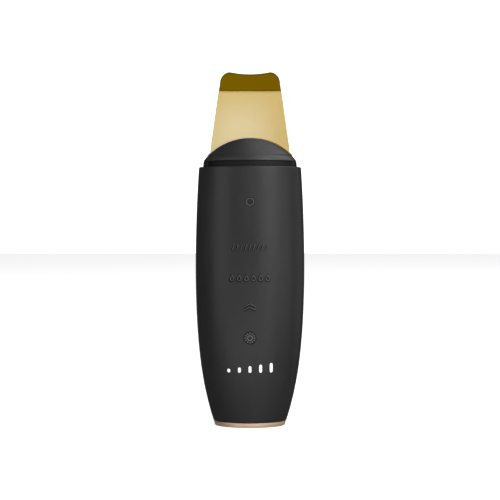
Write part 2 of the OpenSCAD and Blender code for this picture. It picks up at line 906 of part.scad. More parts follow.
module horn_leads() {
  for (i = [0, 1]) {
    s = i == 0 ? -1 : 1;
    z = crystal_z + i * (crystal_h + plate_h) + plate_h;
    x = s * (stack_r + 0.1);
    color(i == 0 ? [0.15, 0.2, 0.6] : [0.85, 0.75, 0.2])
      wire([[x, 0, z], [x, 0, z + 1.4], [x, board_back, z + 1.4]], 0.35);
  }
}

front_shell();
rear_shell();
seam_seals();
neck_ring();
nose_front();
nose_rear();
blade_trim();
blade();
base_ring();
base_plate();
port_cover();
power_button();
power_sleeve();
power_switch();
light_button();
light_sleeve();
light_switch();
scrub_mark();
moisture_mark();
lift_mark();
badge_marks();
light_guides();
chassis();
battery();
battery_pad();
battery_strap();
strap_screws();
battery_leads();
main_board();
control_chip();
mode_leds();
driver_coil();
board_screws();
charge_board();
charge_socket();
board_ribbon();
base_screws();
horn();
piezo_rings();
electrodes();
back_mass();
clamp_bolt();
horn_mount();
blade_screws();
horn_leads();
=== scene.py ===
"""Looks of a handheld ultrasonic skin scrubber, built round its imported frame.

The scrubber stands on its base ring. +Z runs up to the blade and the front faces -Y.
"""
import json
import math
import bmesh
import bpy
import numpy as np
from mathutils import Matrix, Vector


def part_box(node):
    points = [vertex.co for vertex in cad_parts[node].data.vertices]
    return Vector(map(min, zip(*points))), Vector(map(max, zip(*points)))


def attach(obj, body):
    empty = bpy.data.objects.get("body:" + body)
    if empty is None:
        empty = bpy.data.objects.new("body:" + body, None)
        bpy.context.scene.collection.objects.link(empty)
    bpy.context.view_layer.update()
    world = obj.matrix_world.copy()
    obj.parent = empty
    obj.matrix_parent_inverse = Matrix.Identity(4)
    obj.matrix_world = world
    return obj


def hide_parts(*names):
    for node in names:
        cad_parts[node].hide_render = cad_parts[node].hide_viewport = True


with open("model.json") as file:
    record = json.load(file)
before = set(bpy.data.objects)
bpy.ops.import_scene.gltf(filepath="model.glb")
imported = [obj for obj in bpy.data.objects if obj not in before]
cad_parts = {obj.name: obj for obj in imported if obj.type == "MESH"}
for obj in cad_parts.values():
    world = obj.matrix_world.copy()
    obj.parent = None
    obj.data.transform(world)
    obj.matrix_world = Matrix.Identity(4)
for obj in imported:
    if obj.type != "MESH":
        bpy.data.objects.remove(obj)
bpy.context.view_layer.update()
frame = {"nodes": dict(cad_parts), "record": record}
mm = 0.001


# ---- Body shells ----
# Two moulded halves of near-black satin plastic meet along the flanks in a fine V-shaped
# line. The front one has a round hole for each key, and both end above in a rounded rim.

shell_low, shell_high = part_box("rear_shell")
half_w, half_d = shell_high.x, shell_high.y
ring_top, rim_z = shell_low.z, shell_high.z
widest_z, flank_r = 71.4 * mm, 676 * mm
taper_mid, taper_low = 4.86 * mm, 4.03 * mm
wall, rim_round, seam_bevel = 1.8 * mm, 0.5 * mm, 0.13 * mm


def body_half(z):
    """Half width of the body at a height: the drop from the widest is d^2 / 2r above it, and
    a square plus a fourth power of the share of the way to the base below it."""
    up = np.maximum(z - widest_z, 0)
    down = np.maximum(widest_z - z, 0) / widest_z
    return half_w - up**2 / (2 * flank_r) - taper_mid * down**2 - taper_low * down**4


def round_body(turn, z, inset=0.0):
    """Point of the oval body at a turn about Z, a height and a depth under the surface: an
    ellipse of half width h(z) - inset, flattened by the same share as the body is."""
    half = body_half(z) - inset
    flat = (half_d - inset) / (half_w - inset)
    return np.stack(np.broadcast_arrays(half * np.cos(turn), half * flat * np.sin(turn), z), -1)


def front_of_body(x, z, inset=0.0):
    """Point of the body's front at a given x and z, for the same oval."""
    return round_body(-np.arccos(np.clip(x / (body_half(z) - inset), -1, 1)), z, inset)


def patch(points, around=False, keep=None):
    """Faces of a grid of points, each between four neighbours. around joins the last column
    to the first, and keep says which cells stay."""
    rows, columns = points.shape[:2]
    i, j = np.meshgrid(np.arange(rows - 1), np.arange(columns - (not around)), indexing="ij")
    k = (j + 1) % columns
    cells = np.stack([i * columns + j, i * columns + k, (i + 1) * columns + k,
                      (i + 1) * columns + j], -1)
    cells = cells.reshape(-1, 4) if keep is None else cells[keep]
    return points.reshape(-1, 3), cells


def make_piece(name, patches, body, stands_for=(), crease=32, fit=2e-6):
    """One closed mesh of several patches: points nearer than fit are merged, which joins the
    patches' shared edges, and edges that turn by more than crease degrees stay sharp. The
    piece rides on its body."""
    shifts = np.cumsum([0] + [len(p) for p, _ in patches])[:-1]
    mesh = bpy.data.meshes.new(name)
    mesh.from_pydata(np.concatenate([p for p, _ in patches]), [],
                     np.concatenate([f + s for (_, f), s in zip(patches, shifts)]))
    work = bmesh.new()
    work.from_mesh(mesh)
    bmesh.ops.remove_doubles(work, verts=work.verts, dist=fit)
    bmesh.ops.dissolve_degenerate(work, edges=work.edges, dist=fit / 2)
    bmesh.ops.recalc_face_normals(work, faces=work.faces)
    work.to_mesh(mesh)
    work.free()
    mesh.shade_smooth()
    mesh.set_sharp_from_angle(angle=math.radians(crease))
    piece = bpy.data.objects.new(name, mesh)
    bpy.context.scene.collection.objects.link(piece)
    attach(piece, body)
    if stands_for:
        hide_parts(*stands_for)
    return piece


class Shade:
    """A shader socket that Python's operators work on. Each operator adds its Math node."""

    def __init__(self, tree, socket):
        self.tree, self.socket = tree, socket

    def node(self, kind, settings=None, outlet=0, **inlets):
        """Adds a node, sets its settings first and then its sockets, by name or by number."""
        made = self.tree.nodes.new(kind)
        for key, value in (settings or {}).items():
            setattr(made, key, value)
        for key, value in inlets.items():
            inlet = made.inputs[int(key[1:]) if key[0] == "_" else key.replace("_", " ")]
            if isinstance(value, Shade):
                self.tree.links.new(value.socket, inlet)
            else:
                inlet.default_value = value
        return Shade(self.tree, made.outputs[outlet])

    def math(self, operation, a, b):
        return self.node("ShaderNodeMath", {"operation": operation}, _0=a, _1=b)

    def __add__(self, other):
        return self.math("ADD", self, other)

    def __sub__(self, other):
        return self.math("SUBTRACT", self, other)

    def __rsub__(self, other):
        return self.math("SUBTRACT", other, self)

    def __mul__(self, other):
        return self.math("MULTIPLY", self, other)

    __radd__, __rmul__ = __add__, __mul__

    def step(self, low, high):
        """0 below low, 1 above high and a smooth rise between."""
        return self.node("ShaderNodeMapRange", {"interpolation_type": "SMOOTHSTEP"}, Value=self,
                         From_Min=low, From_Max=high)

    def blend(self, a, b):
        """The colour a where this value is 0, and b where it is 1."""
        return self.node("ShaderNodeMix", {"data_type": "RGBA"}, 2, _0=self, _6=a, _7=b)

    def noise(self, scale, detail=2.0, stretch=(1, 1, 1)):
        """Noise of so many grains a metre, read along this vector, stretched by axis."""
        spread = self.node("ShaderNodeVectorMath", {"operation": "MULTIPLY"}, _0=self, _1=stretch)
        return spread.node("ShaderNodeTexNoise", Vector=spread, Scale=scale, Detail=detail)


def new_material(name, **constants):
    """A material with its shader and its place on the object as a vector. Constants are set on the
    shader's own sockets."""
    material = bpy.data.materials.new(name)
    material.use_nodes = True
    tree = material.node_tree
    shader = tree.nodes["Principled BSDF"]
    for key, value in constants.items():
        shader.inputs[key.replace("_", " ")].default_value = value
    place = Shade(tree, tree.nodes.new("ShaderNodeTexCoord").outputs["Object"])
    return material, shader, place


def feed(shader, socket, value):
    """Links a varying value to one of the shader's sockets."""
    value.tree.links.new(value.socket, shader.inputs[socket])


def height_of(place):
    """The Z of a place."""
    return place.node("ShaderNodeSeparateXYZ", None, 2, Vector=place)


def moulded(name, colour, roughness, grain=0.18 * mm, depth=0.006 * mm, mottle=0.12,
            **constants):
    """Moulded plastic with a spark-eroded grain, and handling marks that change its gloss and
    tone a little. grain is the grain's size, and depth how deep it is."""
    material, shader, place = new_material(name, **constants)
    skin = place.noise(1 / grain, 3.0)
    smears = place.noise(70.0, 3.0, (1.0, 1.0, 0.45))
    fine = place.noise(900.0, 2.0)
    dark = tuple(c * (1 - mottle) for c in colour) + (1.0,)
    pale = tuple(c * (1 + mottle) for c in colour) + (1.0,)
    feed(shader, "Base Color", (smears * 0.7 + fine * 0.3).step(0.3, 0.7).blend(dark, pale))
    feed(shader, "Roughness", roughness - 0.04 + smears.step(0.35, 0.75) * 0.07 + skin * 0.03)
    feed(shader, "Normal", skin.node("ShaderNodeBump", Height=skin, Distance=depth, Strength=0.6))
    return material


def coat(piece, material):
    """Gives the whole piece one material."""
    piece.data.materials.clear()
    piece.data.materials.append(material)


body_plastic = moulded("body_plastic", (0.0108, 0.0108, 0.0114), 0.36, Specular_IOR_Level=0.4)

key_gap, hole_round, flange_step = 0.1 * mm, 0.12 * mm, 0.6 * mm
key_holes = []
for key in ("power_button", "light_button"):
    low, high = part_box(key)
    key_holes.append(((low.z + high.z) / 2, (high.z - low.z) / 2 - flange_step))

# Heights of the shell's rows: evenly spaced between the stretches that hold a key's hole. A
# hole's block is so many times as wide and high as the hole.
block, row_pitch = 1.7, 1.6 * mm
stops = [ring_top + 0.3 * mm]
for z, r in sorted(key_holes):
    stops += [z - block * r, z + block * r]
stops.append(rim_z - rim_round)
heights = np.concatenate([np.linspace(a, b, max(8, round((b - a) / row_pitch)), endpoint=False)
                          for a, b in zip(stops, stops[1:])] + [stops[-1:]])
seam_turn = seam_bevel / half_d


def shell_patches(side, holes):
    """A wall between an outer and an inner skin: the path of height and depth goes up the
    outside, over the rim and down the inside, and turns half way round the body. At the seam
    the outside is set back by a fine bevel. Each hole is a ring of faces that goes from a
    block left out of the outer skin, over the hole's edge, to the same block inside."""
    arc = np.radians(np.arange(15, 91, 15))
    foot_rise, foot_in = np.array([0, 0.1]) * mm, np.array([0.3, 0.1]) * mm
    edge_z = np.concatenate([ring_top + foot_rise, heights, rim_z - rim_round * (1 - np.sin(arc))])
    edge_in = np.concatenate([foot_in, 0 * heights, rim_round * (1 - np.cos(arc))])
    inner_edge, first_turn = 0.2 * mm, 0.03
    inner_z = np.minimum(edge_z, rim_z - inner_edge)
    inner_z[-1] = rim_z
    inner_in = np.full_like(edge_in, wall)
    inner_in[-1] = wall - inner_edge
    turns = np.concatenate([[0, seam_turn], np.linspace(first_turn, math.pi - first_turn, 97),
                            [math.pi - seam_turn, math.pi]]) * side
    at_seam = np.zeros(len(turns))
    at_seam[[0, -1]] = seam_bevel
    outer = round_body(turns[None], edge_z[:, None], edge_in[:, None] + at_seam[None])
    inner = round_body(turns[None], inner_z[:, None], inner_in[:, None])
    keep = np.ones((len(edge_z) - 1, len(turns) - 1), bool)
    rings = []
    for z, r in holes:
        rows = np.flatnonzero(np.abs(edge_z - z) < block * r + 0.02 * mm)[[0, -1]]
        columns = np.flatnonzero(np.abs(half_w * np.cos(turns)) < block * r)[[0, -1]]
        keep[rows[0]:rows[1], columns[0]:columns[1]] = False
        i = np.concatenate([np.full(columns[1] - columns[0], rows[0]), np.arange(rows[0], rows[1]),
                            np.full(columns[1] - columns[0], rows[1]),
                            np.arange(rows[1], rows[0], -1)])
        j = np.concatenate([np.arange(columns[0], columns[1]),
                            np.full(rows[1] - rows[0], columns[1]),
                            np.arange(columns[1], columns[0], -1),
                            np.full(rows[1] - rows[0], columns[0])])

        def ring_rows(skin, radius, shares, inset):
            """Rows from the block's edge in towards a circle."""
            x, height = skin[i, j, 0], skin[i, j, 2]
            angle = np.arctan2(height - z, x)
            share = np.array(shares)[:, None]
            ring_x = x + share * (radius * np.cos(angle) - x)
            ring_z = height + share * (z + radius * np.sin(angle) - height)
            return front_of_body(ring_x, ring_z, inset)

        # The outer rows stop at the lip; the quarter round leads on to the hole's wall.
        lip = r + hole_round
        down = [(lip - hole_round * math.sin(a), hole_round * (1 - math.cos(a)))
                for a in np.radians([30, 60, 90])]
        steps = [ring_rows(outer, lip, [0, 0.35, 0.65, 0.87, 1], 0)]
        steps += [ring_rows(outer, radius, [1], inset) for radius, inset in down]
        steps += [ring_rows(inner, r, [1, 0.6, 0], wall)]
        rings.append(patch(np.concatenate(steps), around=True))
    skins = [patch(outer, keep=keep), patch(inner, keep=keep)]
    caps = [patch(np.stack([outer[:, c], inner[:, c]], 1)) for c in (0, -1)]
    ends = [patch(np.stack([outer[r], inner[r]])) for r in (0, -1)]
    return skins + caps + ends + rings


holes = [(z, r + key_gap) for z, r in key_holes]
coat(make_piece("body_front", shell_patches(-1, holes), "case",
                ["front_shell"]), body_plastic)
coat(make_piece("body_rear", shell_patches(1, []), "case", ["rear_shell"]),
     body_plastic)


# ---- Marks on the front ----
# Fine ridges moulded in smoky plastic stand out of the front: slanted strokes, hollow drops
# and two chevrons for the three modes, in a grey lighter than the body's as a painted
# highlight. Below them five plain bars are printed in white.

mark_rise, mark_foot = 0.2 * mm, 0.12 * mm


def ridge(route, width, rise, closed=False, sides=9):
    """A round-topped ridge along a route of x and z on the body's front. Across, its outline
    is half a superellipse that stands out by rise; along, it keeps its width and narrows to a
    half circle at each end. Corners are mitred."""
    route = np.asarray(route, float)
    if not closed:
        # Points inside the round ends make way for the ends' own rows.
        far = np.minimum(np.linalg.norm(route - route[0], axis=1),
                         np.linalg.norm(route - route[-1], axis=1)) > width * 0.52
        far[[0, -1]] = True
        route = route[far]
    before = np.roll(route, 1, 0) if closed else np.vstack([2 * route[0] - route[1], route[:-1]])
    after = np.roll(route, -1, 0) if closed else np.vstack([route[1:], 2 * route[-1] - route[-2]])
    into, out = route - before, after - route
    into /= np.linalg.norm(into, axis=1)[:, None]
    out /= np.linalg.norm(out, axis=1)[:, None]
    across = np.stack([-into[:, 1] - out[:, 1], into[:, 0] + out[:, 0]], 1)
    across *= 2 / (across**2).sum(1)[:, None]
    spread = np.ones(len(route))
    if not closed:
        cap = np.radians([0, 20, 40, 65])[:, None]
        inward = (1 - np.cos(cap)) * width / 2
        route = np.vstack([route[0] + inward * into[0], route[1:-1],
                           route[-1] - inward[::-1] * out[-1]])
        narrow = np.maximum(np.sin(cap[:, 0]), 0.02)
        spread = np.concatenate([narrow, np.ones(len(across) - 2), narrow[::-1]])
        across = np.vstack([np.repeat(across[:1], 4, 0), across[1:-1],
                            np.repeat(across[-1:], 4, 0)])
    # flat is the superellipse's power: 1 would be an ellipse, and less is flatter on top.
    turn = np.linspace(0, math.pi, sides)
    flat = 0.55
    sway = np.concatenate([[1], np.sign(np.cos(turn)) * np.abs(np.cos(turn))**flat, [-1]])
    lift = np.concatenate([[-mark_foot], rise * np.sin(turn)**flat, [-mark_foot]])
    spot = route[:, None] + (width / 2) * (spread[:, None] * sway)[..., None] * across[:, None]
    points = front_of_body(spot[..., 0], spot[..., 1], -lift)
    if closed:
        points = np.concatenate([points, points[:1]])
    faces = [patch(points), patch(points[:, [0, -1]])]
    if not closed:
        # Each end is closed by folding its outline together, left to right.
        half = (sides + 2) // 2
        faces += [patch(np.stack([row[:half + 1], row[::-1][:half + 1]], 1))
                  for row in (points[0], points[-1])]
    return faces


def around(x, z, r, count):
    """Points of a circle in x and z."""
    angle = np.linspace(0, 2 * math.pi, count, endpoint=False)
    return np.stack([x + r * np.cos(angle), z + r * np.sin(angle)], 1)


def line(a, b, count=4):
    """Evenly spaced points from a to b."""
    return np.linspace(a, b, count)


# Painted highlight: the marks' grey is lighter than the body's, for the light their ridges catch.
mark_plastic = moulded("mark_plastic", (0.045, 0.045, 0.046), 0.3, mottle=0.06)
# Painted shadow: the black of the low beds under the marks stands for their drop shadow.
drop_shadow_black = moulded("drop_shadow_black", (0.0022, 0.0022, 0.0023), 0.5, Specular_IOR_Level=0.12)
stroke, drop_shadow_edge, drop_shadow_rise = 0.42 * mm, 0.3 * mm, 0.03 * mm
# The beds sit below and to the left of the ridges, where their painted shadow falls.
drop_shadow_shift = np.array([-0.12, -0.14]) * mm


def raised_mark(name, routes, width, node, closed=False):
    """A mark of several ridges, and under each a wider, low black bed shifted below and to the
    left of it, a painted drop shadow."""
    ridges = sum([ridge(route, width, mark_rise, closed) for route in routes], [])
    coat(make_piece(name, ridges, "case", [node]), mark_plastic)
    drop_shadows = sum([ridge(route + drop_shadow_shift, width + 2 * drop_shadow_edge, drop_shadow_rise, closed)
                  for route in routes], [])
    coat(make_piece(name + "_drop_shadow", drop_shadows, "case"), drop_shadow_black)


def middle(node):
    """The width, the middle's height and the height of a node."""
    low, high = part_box(node)
    return high.x - low.x, (low.z + high.z) / 2, high.z - low.z


span, level, tall = middle("scrub_mark")
lean = tall / 3
raised_mark("scrub_strokes", [line((x, level - tall / 2), (x + lean, level + tall / 2)) for x in
            np.linspace(-span / 2 + stroke / 2, span / 2 - stroke / 2 - lean, 9)], stroke,
            "scrub_mark")

span, level, tall = middle("moisture_mark")
drop_r, drop_line = 1 * mm, 0.4 * mm
drops = []
for x in np.linspace(-span / 2 + drop_r, span / 2 - drop_r, 6):
    r = drop_r - drop_line / 2
    angle = np.radians(np.linspace(150, 390, 25))
    bowl = np.stack([x + r * np.cos(angle), level - drop_r / 2 + r * np.sin(angle)], 1)
    tip = np.array([x, level - drop_r / 2 + 2 * r])
    drops.append(np.vstack([bowl, line(bowl[-1], tip, 5)[1:], line(tip, bowl[0], 5)[1:-1]]))
raised_mark("moisture_drops", drops, drop_line, "moisture_mark", closed=True)

span, level, tall = middle("lift_mark")
chevron_x, chevron_tall = span / 2 - stroke / 2, 1.4 * mm
chevrons = []
for foot in (level - 1.45 * mm, level + 0.05 * mm):
    peak = (0, foot + chevron_tall)
    chevrons.append(np.vstack([line((-chevron_x, foot), peak, 6),
                               line(peak, (chevron_x, foot), 6)[1:]]))
raised_mark("lift_chevrons", chevrons, stroke, "lift_mark")

white_print, shader, place = new_material("white_print")
ink = place.noise(2500.0, 3.0)
feed(shader, "Base Color", ink.step(0.3, 0.7).blend((0.82, 0.82, 0.83, 1), (0.93, 0.93, 0.93, 1)))
feed(shader, "Roughness", 0.42 + ink * 0.12)
span, level, tall = middle("badge_marks")
bar_w = 1.3 * mm
bars = []
for i, x in enumerate(np.linspace(-span / 2 + bar_w / 2, span / 2 - bar_w / 2, 5)):
    top = level - tall / 2 + tall * (0.4 + 0.15 * i)
    bars += ridge(line((x, level - tall / 2), (x, top), 8), bar_w, 0.05 * mm)
coat(make_piece("level_bars", bars, "case", ["badge_marks"]), white_print)


# ---- Keys ----
# Each key is one moulding: a round head whose face follows the body, a flange behind the
# wall that stops it falling out, and a stem over its switch. Its symbol stands out of the face.

flange_t, stem_r, edge_round = 0.5 * mm, 1 * mm, 0.15 * mm
sun_r, ray_from, ray_to = 1.05 * mm, 1.62 * mm, 2.5 * mm


def key_depths(key, sleeve):
    """Where the flange's face and the stem's end lie. The sleeve starts behind the flange."""
    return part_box(sleeve)[0].y - flange_t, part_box(key)[1].y


def key_patches(z, r, back, stem_end):
    """A turned outline of radius and depth about the key's axis. On the head, depth is taken
    under the body's surface, so that the face is flush all over; from the flange's face at
    back on, depth is a plain y."""
    angle = np.linspace(0, 2 * math.pi, 72, endpoint=False)[None]
    arc = np.radians([30, 60, 90])
    face_r = np.concatenate([np.linspace(0, r - edge_round, 9),
                             r - edge_round * (1 - np.sin(arc))])
    face_in = np.concatenate([np.zeros(9), edge_round * (1 - np.cos(arc))])
    face = front_of_body(face_r[:, None] * np.cos(angle), z + face_r[:, None] * np.sin(angle),
                         face_in[:, None])
    rear_r = np.array([r, r + flange_step, r + flange_step, stem_r, stem_r, 0])
    rear_y = np.array([back, back, back + flange_t, back + flange_t, stem_end, stem_end])
    rear = np.stack(np.broadcast_arrays(rear_r[:, None] * np.cos(angle), rear_y[:, None],
                                        z + rear_r[:, None] * np.sin(angle)), -1)
    return [patch(np.concatenate([face, rear]), around=True)]


(power_z, power_r), (light_z, light_r) = key_holes
# Painted shade: the keys' face is darker than the body, for the shade about their raised symbols.
darkened_key_plastic = moulded("darkened_key_plastic", (0.005, 0.005, 0.0052), 0.4, Specular_IOR_Level=0.35)
# Painted highlight: the sun symbol's grey is lighter still, for the light its raised rays catch.
lightened_symbol_plastic = moulded("lightened_symbol_plastic", (0.09, 0.09, 0.092), 0.35, mottle=0.06)
power_ring = ridge(around(0, power_z, power_r - 0.3 * mm, 72), 0.5 * mm, mark_rise, closed=True)
coat(make_piece("power_key", key_patches(power_z, power_r,
                                         *key_depths("power_button", "power_sleeve")),
                "power_button", ["power_button"]), darkened_key_plastic)
coat(make_piece("power_symbol", power_ring, "power_button"), mark_plastic)

sun = ridge(around(0, light_z, sun_r, 48), 0.4 * mm, mark_rise, closed=True)
for angle in np.radians(np.arange(0, 360, 30)):
    ray = np.array([math.cos(angle), math.sin(angle)])
    sun += ridge(line((0, light_z) + ray_from * ray, (0, light_z) + ray_to * ray, 5), 0.36 * mm,
                 mark_rise)
coat(make_piece("light_key", key_patches(light_z, light_r,
                                         *key_depths("light_button", "light_sleeve")),
                "light_button", ["light_button"]), darkened_key_plastic)
coat(make_piece("light_symbol", sun, "light_button"), lightened_symbol_plastic)


# ---- Neck ring ----
# A black moulded ring closes the top of the body and holds both body shells together. A flat
# reveal runs across its front and its rear, and stops short of the flanks.

neck_low, neck_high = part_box("neck_ring")
neck_half, neck_wall, neck_flare = 21 * mm, 1.6 * mm, 0.2 * mm
neck_flat = neck_high.y / neck_half
reveal_x, reveal_depth = 19.6 * mm, 0.9 * mm
lip_z = neck_high.z


def neck_patches():
    """A closed path of height and depth, turned round the oval. Between the rim and the nose
    the path is set back by the reveal wherever x is less than the reveal's half length."""
    soft = 0.1 * mm
    z = np.array([neck_low.z, neck_low.z, rim_z - 1 * mm, rim_z, rim_z + soft / 2, lip_z - soft,
                  lip_z, lip_z, lip_z - 2 * soft, neck_low.z + 2 * soft])
    inset = np.array([neck_wall - 2 * soft, 0, 0, 0, 0, 0, soft, neck_wall, neck_wall, neck_wall])
    recess = np.array([0, 0, 0, 0, 1, 1, 1, 0, 0, 0])
    # Two close columns at each end of the reveal make its step.
    stop, close = math.acos(reveal_x / neck_half), 0.008
    quarter = np.concatenate([np.linspace(0, stop - close, 10), np.linspace(stop, math.pi / 2, 40)])
    turns = np.concatenate([quarter, math.pi - quarter[-2::-1]])
    turns = np.concatenate([turns, -turns[-2:0:-1]])[None]
    flare = neck_flare * np.clip((lip_z - z) / (lip_z - rim_z), 0, 1) * (z > rim_z - 0.5 * mm)
    half = neck_half + (flare - inset)[:, None] + 0 * turns
    back = recess[:, None] * (np.abs(half * np.cos(turns)) < reveal_x + 0.05 * mm)
    half = half - back * reveal_depth
    points = np.stack(np.broadcast_arrays(half * np.cos(turns), half * neck_flat * np.sin(turns),
                                          z[:, None]), -1)
    return [patch(np.concatenate([points, points[:1]]), around=True)]


# The ring is black, and darker than the body's plastic as painted shade of the shaded reveal.
neck_plastic = moulded("neck_plastic", (0.004, 0.004, 0.0042), 0.5, Specular_IOR_Level=0.2)
coat(make_piece("neck_collar", neck_patches(), "case", ["neck_ring"]),
     neck_plastic)


# ---- Nose ----
# Two smooth half caps of semi-gloss plastic close over the root of the blade. Each rises from a
# short upright lip and leans in to the metal trim, which lies in a step between the two.

nose_top, nose_r = 129.4 * mm, 26.5 * mm
arch_z = nose_top - nose_r
trim_low, trim_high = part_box("blade_trim")
trim_half_t = trim_high.y
dome_z = lip_z + 0.5 * mm
lip_half = math.sqrt(nose_r**2 - (dome_z - arch_z)**2)
nose_wall, nose_lean, flank_rows = 1.4 * mm, 1.6, 10


def nose_skin(side, inset):
    """Rows go up the skin and columns across it, from flank to flank. At a height, the depth is
    cut + (c - cut) (1 - s^2)^q, where s is x over the arch's half width there: an ellipse at
    the lip, and flatter above. The middle depth c falls from the lip's to the trim's by a
    power of the share of the way up. cut is the trim's half thickness beside the trim."""
    r = nose_r - inset
    dome_from, trim_from = np.arcsin((np.array([dome_z, trim_low.z]) - arch_z) / r)
    climb = np.concatenate([np.linspace(dome_from, trim_from, flank_rows),
                            np.linspace(trim_from, math.pi / 2, 44)])
    lip_rise, lip_in = np.array([0, 0.04, 0.15]) * mm, np.array([0.3, 0.1, 0]) * mm
    lips = len(lip_rise)
    z = np.concatenate([lip_z + lip_rise, arch_z + r * np.sin(climb)])
    half = np.concatenate([lip_half - inset - lip_in * (inset == 0), r * np.cos(climb)])[:, None]
    up = np.clip((z - dome_z) / (arch_z + r - dome_z), 0, 1)[:, None]
    cut = np.where(np.arange(len(z)) < lips + flank_rows, 0, trim_half_t)[:, None]
    middle_depth = trim_half_t + (half[0] * neck_flat - trim_half_t) * (1 - up**nose_lean)
    middle_depth[:lips] = half[:lips] * neck_flat
    across = np.sin(np.linspace(-math.pi / 2, math.pi / 2, 97))[None]
    depth = cut + (middle_depth - cut) * (1 - across**2)**(0.5 + 0.25 * up)
    return np.stack(np.broadcast_arrays(half * across, side * depth, z[:, None]), -1)


def nose_patches(side):
    """An outer and an inner skin, joined along the foot and both flanks."""
    outer, inner = nose_skin(side, 0), nose_skin(side, nose_wall)
    return [patch(outer), patch(inner), patch(np.stack([outer[0], inner[0]]))] + [
        patch(np.stack([outer[:, c], inner[:, c]], 1)) for c in (0, -1)]


nose_plastic = moulded("nose_plastic", (0.0175, 0.0175, 0.0183), 0.4, depth=0.003 * mm)
coat(make_piece("nose_front_cap", nose_patches(-1), "case", ["nose_front"],
                crease=24), nose_plastic)
coat(make_piece("nose_rear_cap", nose_patches(1), "case", ["nose_rear"],
                crease=24), nose_plastic)


# ---- Blade ----
# One sheet of gold-plated steel, stamped and bent once. It is screwed to the horn by a tang
# inside the neck, and its tip leans to the front between two round corners.

blade_low, blade_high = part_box("blade")
sheet_t = 0.6 * mm
edge_share, edge_strip = 0.8, 0.05 * mm
bend_z, bend_r = 150.4 * mm, 1 * mm
bend_half = 14.25 * mm
root_half, tang_half, tang_top, shoulder_z = blade_high.x, 5.6 * mm, 116.4 * mm, 121.9 * mm
shoulder_end = shoulder_z + 3 * mm
tip_from = bend_z - 0.3 * mm
tip_lean = math.radians(30)
tip_half, corner_r, hollow = bend_half - 0.7 * mm, 4.8 * mm, 0.9 * mm
# The edge's front corner stands above the middle of the leaning sheet.
tip_z = blade_high.z - edge_share * sheet_t / 2 * math.sin(tip_lean)


def sheet_y(z):
    """Where the middle of the sheet lies at a height: y = 0 up to the bend, then an arc round
    the bend's axis and a straight lean."""
    r = bend_r + sheet_t / 2
    start = bend_z - bend_r * math.tan(tip_lean / 2)
    end = start + r * math.sin(tip_lean)
    arc = r * (np.sqrt(np.maximum(1 - (np.clip(z - start, 0, end - start) / r)**2, 0)) - 1)
    return arc - np.maximum(z - end, 0) * math.tan(tip_lean)


def tip_edge(x):
    """Height of the tip's edge at an x: a corner's arc outside, and a wide shallow arc that
    dips by the hollow between the corners."""
    lobe = tip_half - corner_r
    reach = lobe + 0.08 * corner_r
    wide = (reach**2 + hollow**2) / (2 * hollow)
    out = np.maximum(np.abs(x) - lobe, 0)
    corner = tip_z - corner_r + np.sqrt(np.maximum(corner_r**2 - out**2, 0))
    dip = tip_z - hollow + wide - np.sqrt(np.maximum(wide**2 - x**2, 0))
    # The two arcs meet in a soft crest.
    soft = 0.12 * mm
    return (corner + dip - np.sqrt((corner - dip)**2 + soft**2)) / 2


def blade_patches():
    """Columns run up the sheet and rows across it. The half width is given at the tang, the
    shoulders, the bend and the tip, with straight edges between. The sheet has its thickness
    across its own slope, and thins to a share of it in a fine strip along its edges."""
    share = np.sin(np.linspace(-math.pi / 2, math.pi / 2, 81))
    stretches = [(blade_low.z, tang_top, 6), (tang_top, shoulder_z, 10),
                 (shoulder_z, shoulder_end, 6), (shoulder_end, tip_from, 40)]
    low_z = np.concatenate([np.linspace(a, b, rows, endpoint=False) for a, b, rows in stretches])
    width = np.interp(low_z, [tang_top, shoulder_z, shoulder_z + 2.1 * mm, shoulder_z + 3.9 * mm,
                              bend_z],
                      [tang_half, root_half, root_half - 0.02 * mm, root_half - 0.2 * mm,
                       bend_half])
    x_low = share[None] * width[:, None]
    z_low = low_z[:, None] + 0 * x_low
    up = np.linspace(0, 1, 33)**0.8
    z_tip = tip_from + up[:, None] * (tip_edge(share * tip_half) - tip_from)[None]
    x_tip = share[None] * np.interp(z_tip, [tip_from, tip_z - corner_r], [bend_half, tip_half])
    x, z = np.concatenate([x_low, x_tip]), np.concatenate([z_low, z_tip])
    y = sheet_y(z)
    slope = (sheet_y(z + 1e-5) - sheet_y(z - 1e-5)) / 2e-5
    tilt = 1 / np.sqrt(1 + slope**2)
    normal = np.stack([0 * x, -tilt, slope * tilt], -1)
    centre = np.stack([x, y, z], -1)
    # About how far in each point lies from the edge, across and at the tip.
    flank = (1 - np.abs(share))[None] * 17 * mm
    rim = np.where(z < tip_from, flank, np.minimum(flank, np.abs(z - tip_edge(x))))
    full = np.sqrt(np.clip(rim / edge_strip, 0, 1))
    thin = sheet_t / 2 * (edge_share + (1 - edge_share) * full)
    front = centre + normal * thin[..., None]
    rear = centre - normal * thin[..., None]
    edges = [patch(np.stack([front[:, c], rear[:, c]], 1)) for c in (0, -1)]
    ends = [patch(np.stack([front[r], rear[r]])) for r in (0, -1)]
    return [patch(front), patch(rear)] + edges + ends


blade_gold, shader, place = new_material("blade_gold", Metallic=1.0)
height = height_of(place)
brushing = place.noise(9000.0, 2.0, (1.0, 1.0, 0.03))
cloud = place.noise(45.0, 2.0)
# The plating is pale about a spot over the root as a painted highlight, and deeper away from it.
# The leaning tip is darkest, as painted shade.
on_tip = height.step(bend_z - 0.15 * mm, bend_z + 0.15 * mm)
highlight_spot = (-5 * mm, 0, nose_top + 1.6 * mm)
away = place.node("ShaderNodeVectorMath", {"operation": "DISTANCE"}, 1, _0=place, _1=highlight_spot)
highlight_falloff = (away + (cloud - 0.5) * (6 * mm) + (brushing - 0.5) * (3 * mm)).step(2 * mm, 23 * mm)
highlighted_gold = highlight_falloff.blend((0.93, 0.765, 0.43, 1), (0.81, 0.605, 0.235, 1))
